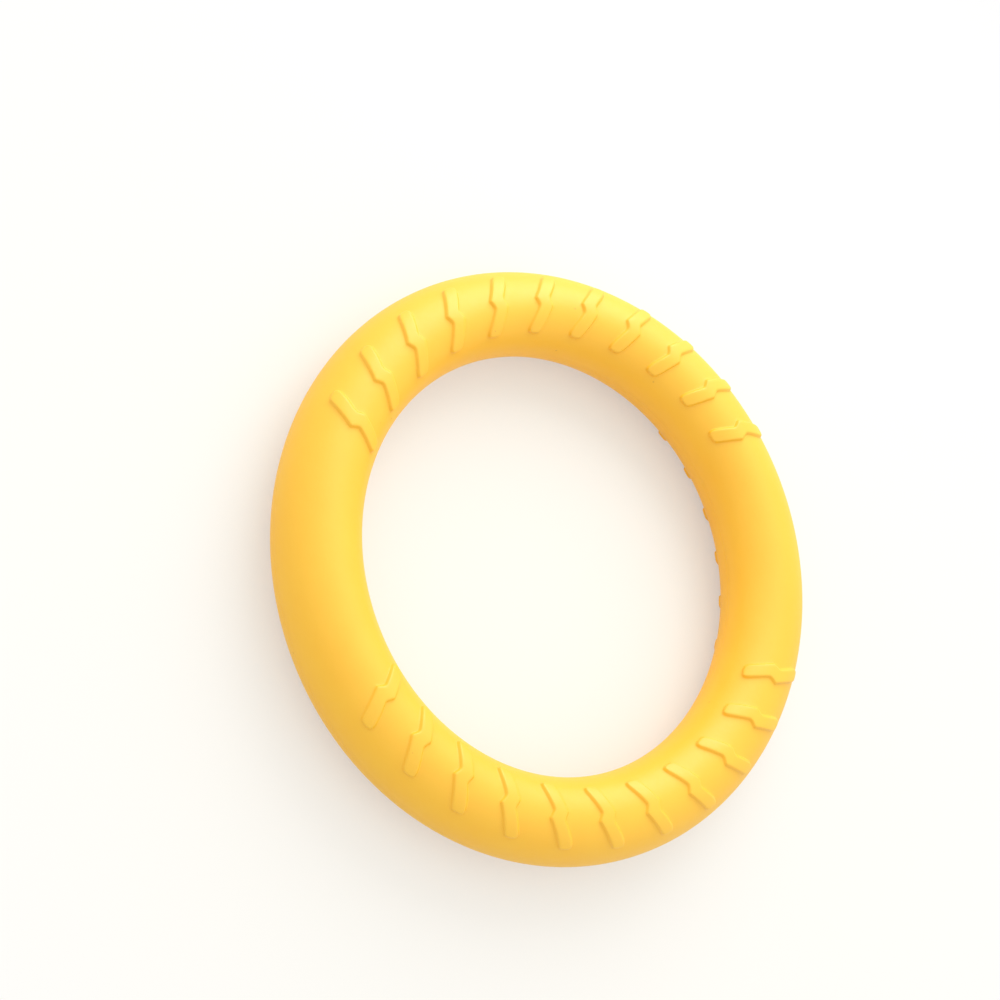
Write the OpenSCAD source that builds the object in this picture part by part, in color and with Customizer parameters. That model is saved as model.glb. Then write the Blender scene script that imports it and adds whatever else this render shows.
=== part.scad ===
// Flying ring for lawn play, lying flat on its back face.
// Two equal foam mouldings are bonded at the mid plane round a hoop of plastic tube.
// The ring's axis is Z, its front face looks up, and Z = 0 is the surface that it lies on.

/* [Ring] */
// Diameter over the ring's outer edge
ring_od = 280; // [220:1:340]
// Diameter of the ring's round section
section_d = 40; // [32:0.5:50]

/* [Lugs] */
// Height of a lug above the section
lug_h = 1.6; // [0.6:0.1:3]
// Lugs in each of a face's two banks
lug_count = 11; // [3:2:13]
// Angle round the ring from one lug to the next
lug_pitch = 12; // [9:0.5:12.5]
// Angle round the section from the crown to each end of a lug
lug_end_angle = 42; // [35:1:55]
// Width of a lug's two bars
lug_w = 7; // [4:0.25:8.5]
// Radius of the corners at a lug's ends
lug_corner = 2; // [0.5:0.25:3]
// Slant of the outer bar from the ring's radius
outer_slant = 34; // [15:1:40]
// Slant of the inner bar from the ring's radius
inner_slant = 27; // [15:1:40]
// Radial length of the step between the two bars
step_len = 3.8; // [2:0.2:6]
// Sideways shift of the step between the two bars
step_shift = 1.7; // [0.5:0.1:4]
// Turn of the back half against the front half
back_turn = 66; // [0:1:90]

/* [Hoop] */
// Outside diameter of the hoop's tube
hoop_od = 12; // [8:0.5:18]
// Wall of the hoop's tube
hoop_wall = 2; // [1:0.25:3]
// Clearance between the tube and the foam's channel
channel_clearance = 0.2; // [0.1:0.05:0.5]
// Space between the tube's two ends
splice_space = 0.5; // [0.2:0.1:2]
// Length of the plug that joins the tube's ends
plug_len = 60; // [30:1:100]
// Clearance between the plug and the tube's bore
plug_clearance = 0.1; // [0.05:0.05:0.3]

/* [Hidden] */
$fn = 96;
section_r = section_d / 2;
ring_r = ring_od / 2 - section_r;
crown_r = section_r + lug_h;
mid_z = crown_r;
hoop_r = hoop_od / 2;
bore_r = hoop_r - hoop_wall;
channel_r = hoop_r + channel_clearance;
plug_r = bore_r - plug_clearance;
// The splice lies under the bare arc on the ring's left.
splice_angle = 180;
splice_arc = splice_space / ring_r * 180 / PI;
plug_arc = plug_len / ring_r * 180 / PI;
// A lug in plan, with X along the ring's radius from the crown circle and Y round the ring.
lug_end_x = crown_r * sin(lug_end_angle);
corner_r = min(lug_corner, lug_w / 2 - 0.25);
corner_steps = 3;
outer_step = [step_len / 2, step_shift / 2];
inner_step = -outer_step;
outer_end = [lug_end_x, outer_step.y - (lug_end_x - outer_step.x) * tan(outer_slant)];
inner_end = [-lug_end_x, inner_step.y + (lug_end_x + inner_step.x) * tan(inner_slant)];

// The end of a lug's bar, cut along the ring with round corners: side is 1 at the outer end and -1 at the inner end.
function blunt_end(end, slant, side) = [
    for (k = [-1, 1], i = [0 : corner_steps])
        let (turn = 90 - k * slant, a = turn * (i / corner_steps - (k < 0 ? 1 : 0)))
            end + side * [
                corner_r * (cos(a) - 1),
                k * (lug_w / 2 - corner_r) / cos(slant) + corner_r * (tan(slant) + sin(a))
            ]
];

// One lug in plan: two slanted bars, stepped sideways where they meet over the crown.
module lug_plan() {
    outer_side = [0, lug_w / 2 / cos(outer_slant)];
    inner_side = [0, lug_w / 2 / cos(inner_slant)];
    polygon([
        each blunt_end(outer_end, outer_slant, 1), outer_step + outer_side, inner_step + inner_side,
        each blunt_end(inner_end, inner_slant, -1), inner_step - inner_side, outer_step - outer_side
    ]);
}

// Half a turn of the ring's upper half, with a section of radius r and the hoop's channel.
module half_turn(r) {
    rotate_extrude(angle = 180) translate([ring_r, 0]) difference() {
        intersection() {
            circle(r);
            translate([-r, 0]) square([2 * r, r]);
        }
        circle(channel_r);
    }
}

// Half a turn with one bank of lugs, which is centred on the Y axis.
module lugged_half_turn() {
    half_turn(section_r);
    intersection() {
        half_turn(crown_r);
        linear_extrude(crown_r) for (i = [0 : lug_count - 1])
            rotate(90 + (i - (lug_count - 1) / 2) * lug_pitch) translate([ring_r, 0]) lug_plan();
    }
}

// One foam moulding, face up: the second bank is the first one's mirror image.
module moulding() {
    lugged_half_turn();
    mirror([0, 1, 0]) lugged_half_turn();
}

module front_half() {
    color("gold") translate([0, 0, mid_z]) moulding();
}

module back_half() {
    color("goldenrod") translate([0, 0, mid_z]) rotate(back_turn) rotate([0, 180, 0]) moulding();
}

// A length of tube bent round, its ends a splice's space apart.
module core_hoop() {
    color("ivory") translate([0, 0, mid_z]) rotate(splice_angle + splice_arc / 2)
        rotate_extrude(angle = 360 - splice_arc) translate([ring_r, 0]) difference() {
            circle(hoop_r);
            circle(bore_r);
        }
}

// A bent rod inside the tube's two ends.
module hoop_plug() {
    color("dimgray") translate([0, 0, mid_z]) rotate(splice_angle - plug_arc / 2)
        rotate_extrude(angle = plug_arc) translate([ring_r, 0]) circle(plug_r);
}

front_half();
back_half();
core_hoop();
hoop_plug();
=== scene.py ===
import math

import bpy
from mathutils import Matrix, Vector


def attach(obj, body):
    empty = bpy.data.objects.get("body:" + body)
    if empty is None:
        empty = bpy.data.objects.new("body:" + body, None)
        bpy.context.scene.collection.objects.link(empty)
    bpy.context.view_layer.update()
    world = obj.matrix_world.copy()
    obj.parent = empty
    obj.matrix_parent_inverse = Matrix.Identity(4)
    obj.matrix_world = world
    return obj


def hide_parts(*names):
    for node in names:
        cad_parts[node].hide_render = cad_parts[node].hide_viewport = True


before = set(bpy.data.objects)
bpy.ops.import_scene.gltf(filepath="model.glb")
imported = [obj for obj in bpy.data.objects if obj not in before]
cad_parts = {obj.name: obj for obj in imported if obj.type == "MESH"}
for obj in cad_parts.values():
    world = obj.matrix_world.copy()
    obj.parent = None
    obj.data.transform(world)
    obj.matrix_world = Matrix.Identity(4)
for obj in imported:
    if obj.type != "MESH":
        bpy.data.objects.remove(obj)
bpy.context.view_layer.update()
scene = bpy.context.scene
scene.view_settings.view_transform = "Standard"
mm = 0.001


# The hoop inside the ring: a length of natural polyethylene tube, extruded straight and bent round.
# It lies loose in the foam's channel and keeps the ring in shape.
class Wire:
    """An output of a shader node. Arithmetic on it adds Math nodes."""

    def __init__(self, tree, socket):
        self.tree = tree
        self.socket = socket

    def node(self, kind, sockets, out=0, **settings):
        """Adds a shader node: its settings first, then the values or links of its sockets."""
        node = self.tree.nodes.new("ShaderNode" + kind)
        for name, setting in settings.items():
            setattr(node, name, setting)
        feed(node, sockets)
        return Wire(self.tree, node.outputs[out])

    def __add__(self, other):
        return self.node("Math", {0: self, 1: other}, operation="ADD")

    def __sub__(self, other):
        return self.node("Math", {0: self, 1: other}, operation="SUBTRACT")

    def __rsub__(self, other):
        return self.node("Math", {0: other, 1: self}, operation="SUBTRACT")

    def __mul__(self, other):
        return self.node("Math", {0: self, 1: other}, operation="MULTIPLY")

    __radd__ = __add__
    __rmul__ = __mul__


def feed(node, sockets):
    """Links each wire to its socket of a node, and sets each plain value there."""
    for name, value in sockets.items():
        if isinstance(value, Wire):
            value.tree.links.new(value.socket, node.inputs[name])
        else:
            node.inputs[name].default_value = value


def start_material(name):
    """A new material, its shader, and the place on the piece as a wire."""
    material = bpy.data.materials.new(name)
    material.use_nodes = True
    tree = material.node_tree
    place = Wire(tree, tree.nodes.new("ShaderNodeTexCoord").outputs["Object"])
    return material, tree.nodes["Principled BSDF"], place


def mix_colors(color, other, share):
    """A colour between two, where the wire share is the part of the second."""
    return share.node("Mix", {"Factor": share, "A": color, "B": other}, out="Result", data_type="RGBA")


def round_ring(place):
    """A place's distance from the ring's axis, and its height."""
    across = place.node("VectorMath", {0: place, 1: (1, 1, 0)}, operation="MULTIPLY")
    radius = across.node("VectorMath", {0: across}, out="Value", operation="LENGTH")
    height = place.node("SeparateXYZ", {"Vector": place}, out="Z")
    return radius, height


def drawn_plastic(name, color, streak_color, roughness):
    """Extruded plastic: faint draw lines that run round the ring with the tube or rod."""
    material, shader, place = start_material(name)
    radius, height = round_ring(place)
    section = place.node("CombineXYZ", {"X": radius, "Y": height})
    lines = place.node("TexNoise", {"Vector": section, "Scale": 1400, "Detail": 3})
    cloud = place.node("TexNoise", {"Vector": place, "Scale": 60, "Detail": 2})
    streaks = lines * 0.6 + cloud * 0.4
    feed(shader, {
        "Base Color": mix_colors(color, streak_color, streaks),
        "Roughness": roughness + 0.15 * streaks,
        "Normal": place.node("Bump", {"Height": lines, "Distance": 0.05 * mm, "Strength": 0.5}),
    })
    return material


natural_white = (0.74, 0.72, 0.66, 1)
natural_streak = (0.62, 0.6, 0.53, 1)
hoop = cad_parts["core_hoop"]
hoop.data.materials.clear()
hoop.data.materials.append(drawn_plastic("hoop_tube", natural_white, natural_streak, roughness=0.38))

# The plug that joins the hoop's two ends: a short rod of dark plastic, bent to the hoop's curve.
# It is pushed half its length into each end of the tube.
rod_black = (0.035, 0.035, 0.038, 1)
rod_streak = (0.05, 0.05, 0.052, 1)
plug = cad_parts["hoop_plug"]
plug.data.materials.clear()
plug.data.materials.append(drawn_plastic("plug_rod", rod_black, rod_streak, roughness=0.45))

# The front foam half: closed-cell foam moulded in one shot, with a smooth skin and two banks of grip lugs.
# It is modelled as flat tread, one lug to a panel, which is bent to the section and then round the ring.
ring_radius = 120 * mm
section_radius = 20 * mm
lug_height = 1.6 * mm
crown_radius = section_radius + lug_height
mid_height = crown_radius
lug_pitch = math.radians(12)
first_lug = math.radians(30)
lugs_in_bank = 11
bank_start = first_lug - lug_pitch / 2
bank_end = bank_start + lugs_in_bank * lug_pitch

# A lug is two slanted bars, stepped sideways where they meet over the crown.
lug_width = 7.7 * mm
lug_reach = 14.6 * mm
lug_corner = 1.5 * mm
outer_slant = math.radians(34)
inner_slant = math.radians(27)
step_out = 1.9 * mm
step_round = 0.85 * mm
# Its wall goes from a soft foot to a rounded top in these steps: how far inwards, and how far up.
lug_wall = ((0.35 * mm, 0.15 * mm), (0.45 * mm, 0.85 * mm), (0.45 * mm, 0.5 * mm), (0.6 * mm, 0.1 * mm))

# The tread's grid has rows round the section and columns round the ring.
# On each bar three rows lie at these parts of the way from its neck to the step.
bar_parts = (0.5, 0.91, 1)
bare_angles = [math.radians(angle) for angle in (90, 80, 70, 60)]
lug_columns = 5
bare_columns = 7
merge_gap = 0.01 * mm


def bar_rows(side, slant):
    """One bar of a lug in plan, as rows of two side points from its end to the step.

    X goes outwards from the crown and Y round the ring.
    The side is 1 for the outer bar and -1 for the inner one.
    """
    step = side * Vector((step_out, step_round))
    end = side * Vector((lug_reach, step_round - (lug_reach - step_out) * math.tan(slant)))
    neck = end.lerp(step, lug_corner / (lug_reach - step_out))
    end_row = []
    neck_row = []
    for edge in (-side, side):
        flat = edge * (lug_width / 2 - lug_corner) / math.cos(slant) + lug_corner * math.tan(slant)
        on_end = end + side * Vector((0, flat))
        turn = Vector((edge * math.sin(slant) - 1, edge * math.cos(slant)))
        end_row.append(on_end)
        neck_row.append(on_end + side * lug_corner * turn)
    rows = [end_row, neck_row]
    half = Vector((0, lug_width / 2 / math.cos(slant)))
    for part in bar_parts:
        middle = neck.lerp(step, part)
        rows.append([middle - half, middle + half])
    return rows


def section_angle(point):
    """The angle round the section, from the crown outwards, of a point in a lug's plan."""
    return math.asin(point.x / (section_radius + lug_height / 2))


def halfway(first, second):
    return [(a + b) / 2 for a, b in zip(first, second)]


outer_bar = bar_rows(1, outer_slant)
inner_bar = bar_rows(-1, inner_slant)
lug_rows = [*outer_bar, halfway(outer_bar[-1], inner_bar[-1]), *reversed(inner_bar)]
lug_angles = [(section_angle(right) + section_angle(left)) / 2 for right, left in lug_rows]
row_angles = [*bare_angles, *lug_angles, *(-angle for angle in reversed(bare_angles))]


def flat_panel(name, start, end, columns):
    """A flat piece of tread from one angle round the ring to another.

    It faces -Y, and its rows go up Z from the ring's outer edge to the inner one.
    """
    bpy.ops.object.select_all(action="DESELECT")
    last_row = len(row_angles) - 1
    bpy.ops.mesh.primitive_grid_add(x_subdivisions=columns, y_subdivisions=last_row, size=1)
    panel = bpy.context.object
    panel.name = name
    for vertex in panel.data.vertices:
        row = round((vertex.co.y + 0.5) * last_row)
        along = start + (vertex.co.x + 0.5) * (end - start)
        vertex.co = (ring_radius * along, 0, -section_radius * row_angles[row])
    return panel


def slide_to_lug(panel, middle):
    """Slides the panel's two inner columns to the sides of a lug, and those beside them half as far.

    Past the lug's ends the slide eases off to nothing at the panel's edges.
    """
    half_panel = ring_radius * lug_pitch / 2
    for index, vertex in enumerate(panel.data.vertices):
        row, column = divmod(index, lug_columns + 1)
        lug_row = row - len(bare_angles)
        nearest = min(max(lug_row, 0), len(lug_rows) - 1)
        ease = (math.pi / 2 - abs(row_angles[row])) / (math.pi / 2 - abs(lug_angles[nearest]))
        level = -section_radius * row_angles[row]
        right, left = (
            (
                ring_radius * math.atan2(point.y, ring_radius + point.x),
                -section_radius * section_angle(point) if nearest == lug_row else level,
            )
            for point in lug_rows[nearest]
        )
        first = (-half_panel, level)
        last = (half_panel, level)
        places = [first, halfway(first, right), right, left, halfway(left, last), last]
        across, up = places[column]
        vertex.co.x += ease * (middle + across - vertex.co.x)
        vertex.co.z = up


lug_panel = flat_panel("lug_panel", bank_start, bank_start + lug_pitch, lug_columns)
lug_middle = ring_radius * first_lug
half_column = ring_radius * lug_pitch / lug_columns / 2
bpy.ops.object.mode_set(mode="EDIT")
bpy.ops.mesh.select_mode(type="FACE")
bpy.ops.mesh.select_all(action="DESELECT")
bpy.ops.object.mode_set(mode="OBJECT")
for polygon in lug_panel.data.polygons:
    in_column = abs(polygon.center.x - lug_middle) < half_column
    polygon.select = in_column and abs(polygon.center.z) < section_radius * lug_angles[0]
slide_to_lug(lug_panel, lug_middle)
bpy.ops.object.mode_set(mode="EDIT")
for inset, rise in lug_wall:
    bpy.ops.mesh.inset(thickness=inset, depth=rise, use_even_offset=True)
bpy.ops.object.mode_set(mode="OBJECT")


def apply_modifier(kind, **settings):
    """Adds a modifier to the active piece and applies it."""
    bpy.ops.object.modifier_add(type=kind)
    modifier = bpy.context.object.modifiers[-1]
    for name, setting in settings.items():
        setattr(modifier, name, setting)
    bpy.ops.object.modifier_apply(modifier=modifier.name)


apply_modifier("ARRAY", count=lugs_in_bank, use_merge_vertices=True, merge_threshold=merge_gap)
bpy.ops.object.duplicate()
second_bank = bpy.context.object
second_bank.scale.x = -1
bpy.ops.object.transform_apply(scale=True)
bare_panels = [
    flat_panel("bare_right", -bank_start, bank_start, 2 * bare_columns),
    flat_panel("bare_left", bank_end, math.pi, bare_columns),
    flat_panel("bare_left", -math.pi, -bank_end, bare_columns),
]
for panel in (second_bank, *bare_panels, lug_panel):
    panel.select_set(True)
bpy.context.view_layer.objects.active = lug_panel
bpy.ops.object.join()
foam_front = bpy.context.object
foam_front.name = "foam_front"
foam_front.data.name = "foam_front"


def close_doubles():
    """Merges the active piece's seams and turns its faces outwards."""
    bpy.ops.object.mode_set(mode="EDIT")
    bpy.ops.mesh.select_all(action="SELECT")
    bpy.ops.mesh.remove_doubles(threshold=merge_gap)
    bpy.ops.mesh.normals_make_consistent(inside=False)
    bpy.ops.object.mode_set(mode="OBJECT")


close_doubles()
apply_modifier("SUBSURF", levels=2, render_levels=2, boundary_smooth="PRESERVE_CORNERS")
apply_modifier("SIMPLE_DEFORM", deform_method="BEND", deform_axis="X", angle=math.pi)
foam_front.rotation_euler.x = -math.pi / 2
bpy.ops.object.transform_apply(location=False)
apply_modifier("SIMPLE_DEFORM", deform_method="BEND", deform_axis="Z", angle=2 * math.pi)
foam_front.location = (0, -ring_radius, 0)
bpy.ops.object.transform_apply()
foam_front.location.z = mid_height + section_radius
foam_front.rotation_euler.z = math.pi / 2
bpy.ops.object.transform_apply()
close_doubles()


def select_rim(radius):
    """Selects the open rim at a radius, in edit mode."""
    bpy.ops.object.mode_set(mode="EDIT")
    bpy.ops.mesh.select_mode(type="EDGE")
    bpy.ops.mesh.select_all(action="DESELECT")
    bpy.ops.object.mode_set(mode="OBJECT")
    on_rim = []
    for vertex in foam_front.data.vertices:
        off_radius = abs(vertex.co.to_2d().length - radius)
        off_height = abs(vertex.co.z - mid_height)
        on_rim.append(max(off_radius, off_height) < merge_gap)
    for edge in foam_front.data.edges:
        edge.select = all(on_rim[index] for index in edge.vertices)
    bpy.ops.object.mode_set(mode="EDIT")


def pull_rim(radius, new_radius, rise):
    """Extrudes the selected rim to a new radius and height."""
    bpy.ops.mesh.extrude_region_move(TRANSFORM_OT_translate={"value": (0, 0, rise)})
    factor = new_radius / radius
    bpy.ops.transform.resize(value=(factor, factor, 1), center_override=(0, 0, mid_height))


# The mating face: a small soft corner at each edge, and the channel's half round for the hoop.
channel_radius = 6.2 * mm
channel_steps = 9
corner = 0.1 * mm
shoulder = 0.03 * mm
inner_edge = ring_radius - section_radius
outer_edge = ring_radius + section_radius
for edge, inwards in ((inner_edge, 1), (outer_edge, -1)):
    select_rim(edge)
    bpy.ops.transform.translate(value=(0, 0, corner))
    pull_rim(edge, edge + inwards * shoulder, shoulder - corner)
    pull_rim(edge + inwards * shoulder, edge + inwards * corner, -shoulder)
rim = outer_edge - corner
level = 0
for step in range(channel_steps + 1):
    angle = math.pi * step / channel_steps
    next_rim = ring_radius + channel_radius * math.cos(angle)
    next_level = channel_radius * math.sin(angle)
    pull_rim(rim, next_rim, next_level - level)
    rim = next_rim
    level = next_level
pull_rim(rim, inner_edge + corner, 0)
bpy.ops.object.mode_set(mode="OBJECT")
close_doubles()
bpy.ops.object.shade_smooth_by_angle(angle=math.radians(50))

foam_yellow = (0.985, 0.51, 0.013, 1)
foam_pale = (0.99, 0.575, 0.027, 1)
speck_brown = (0.55, 0.24, 0.01, 1)
foam, shader, place = start_material("foam")
cloud = place.node("TexNoise", {"Vector": place, "Scale": 45, "Detail": 4, "Roughness": 0.6})
cells = place.node("TexVoronoi", {"Vector": place, "Scale": 1500}, out="Distance", feature="SMOOTH_F1")
skin = place.node("TexNoise", {"Vector": place, "Scale": 420, "Detail": 3})

# Handling has polished and paled the lugs' tops a little, and a few dark specks are moulded in.
radius, height = round_ring(place)
from_crown = radius - ring_radius
from_middle = height - mid_height
stands_out = place.node("Math", {0: from_crown * from_crown + from_middle * from_middle}, operation="SQRT")
worn = place.node(
    "MapRange",
    {"Value": stands_out, "From Min": section_radius + lug_height / 2, "From Max": crown_radius},
    interpolation_type="SMOOTHSTEP",
)
from_speck = place.node("TexVoronoi", {"Vector": place, "Scale": 60}, out="Distance")
speck = place.node(
    "MapRange",
    {"Value": from_speck, "From Min": 0.04, "From Max": 0.015},
    interpolation_type="SMOOTHSTEP",
)
foam_color = mix_colors(foam_yellow, foam_pale, cloud * 0.85 + worn * 0.2)
feed(shader, {
    "Base Color": mix_colors(foam_color, speck_brown, speck * 0.4),
    "Roughness": 0.41 + 0.16 * skin - 0.06 * worn,
    "Normal": place.node("Bump", {"Height": cells * 0.5 + skin, "Distance": 0.07 * mm, "Strength": 0.5}),
    "Specular IOR Level": 0.8,
})
foam_front.data.materials.append(foam)
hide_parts("front_half")
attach(foam_front, "root")

# The back foam half: a second moulding from the same tool, turned over and bonded on at the mid plane.
# Nothing keys the two together, so its banks of lugs lie nearly a fifth of a turn round from the front's.
back_turn = math.radians(66)
foam_back = bpy.data.objects.new("foam_back", foam_front.data.copy())
scene.collection.objects.link(foam_back)
bpy.ops.object.select_all(action="DESELECT")
foam_back.select_set(True)
bpy.context.view_layer.objects.active = foam_back
foam_back.data.name = "foam_back"
foam_back.rotation_euler = (0, math.pi, back_turn)
foam_back.location = (0, 0, 2 * mid_height)
bpy.ops.object.transform_apply()
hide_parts("back_half")
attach(foam_back, "root")

# The studio: a warm white paper floor that takes the ring's soft shadow and fades to white away from it.
# The white room is brighter overhead and dimmer at the lower left, and one large soft lamp is the window.
bpy.ops.object.select_all(action="DESELECT")
bpy.ops.mesh.primitive_plane_add(size=12)
floor = bpy.context.object
floor.name = "floor"
warm_white = (0.84, 0.81, 0.72, 1)
paper, shader, place = start_material("floor_paper")
feed(shader, {"Base Color": warm_white, "Roughness": 0.9, "Specular IOR Level": 0.1})


def seen_directly(tree):
    """1 for rays that show the background itself, from the camera or off gloss and glass.

    It is 0 for the rays that light the ring.
    """
    rays = tree.nodes.new("ShaderNodeLightPath").outputs
    camera_ray = Wire(tree, rays["Is Camera Ray"])
    gloss_ray = Wire(tree, rays["Is Glossy Ray"])
    glass_ray = Wire(tree, rays["Is Transmission Ray"])
    return camera_ray.node("Math", {0: camera_ray + gloss_ray, 1: glass_ray}, operation="MAXIMUM")


away = place.node("VectorMath", {0: place}, out="Value", operation="LENGTH")
whitening = place.node(
    "MapRange",
    {"Value": away, "From Min": 0.09, "From Max": 0.5, "To Min": 0.38, "To Max": 1},
)
lit_paper = Wire(paper.node_tree, shader.outputs[0])
white_paper = place.node("Emission", {"Color": (1, 1, 0.995, 1), "Strength": 1})
shown_white = seen_directly(paper.node_tree) * whitening
shown = place.node("MixShader", {0: shown_white, 1: lit_paper, 2: white_paper})
feed(paper.node_tree.nodes["Material Output"], {"Surface": shown})
floor.data.materials.append(paper)

room = bpy.data.worlds.new("room")
room.use_nodes = True
scene.world = room
towards = Wire(room.node_tree, room.node_tree.nodes.new("ShaderNodeTexCoord").outputs["Generated"])
room_level = 0.88
ceiling_side = Vector((0, 0.3, 0.95)).normalized()
ceiling_gain = 0.4
dark_side = Vector((-0.75, -0.65, 0.1)).normalized()
dark_loss = 0.4


def facing(side):
    """How squarely a direction in the room points to a side of it, from -1 to 1."""
    return towards.node("VectorMath", {0: towards, 1: side}, out="Value", operation="DOT_PRODUCT")


in_dark = towards.node("Math", {0: facing(dark_side), 1: 0}, operation="MAXIMUM")
room_light = room_level + ceiling_gain * facing(ceiling_side) - dark_loss * in_dark
shown_light = room_light + seen_directly(room.node_tree) * (1 - room_light)
feed(room.node_tree.nodes["Background"], {"Color": (1, 1, 1, 1), "Strength": shown_light})

# The window lamp's level is the brightness that it gives a white face.
window_side = Vector((0.34, 0.72, 0.6)).normalized()
window_distance = 1.0
window_level = 0.55
key = bpy.data.lights.new("key", "AREA")
key.shape = "SQUARE"
key.size = 0.8
key.energy = window_level * (math.pi * window_distance) ** 2
lamp = bpy.data.objects.new("key", key)
lamp.location = window_side * window_distance
lamp.rotation_euler = window_side.to_track_quat("Z", "Y").to_euler()
scene.collection.objects.link(lamp)

# The camera, at the photograph's viewing angle.
view = bpy.data.cameras.new("camera")
view.lens = 72.72
view.sensor_width = 36
camera = bpy.data.objects.new("camera", view)
camera.location = (-0.4955, -0.1574, 0.8032)
camera.rotation_euler = (0.2676, -0.5156, -0.1303)
scene.collection.objects.link(camera)
scene.camera = camera
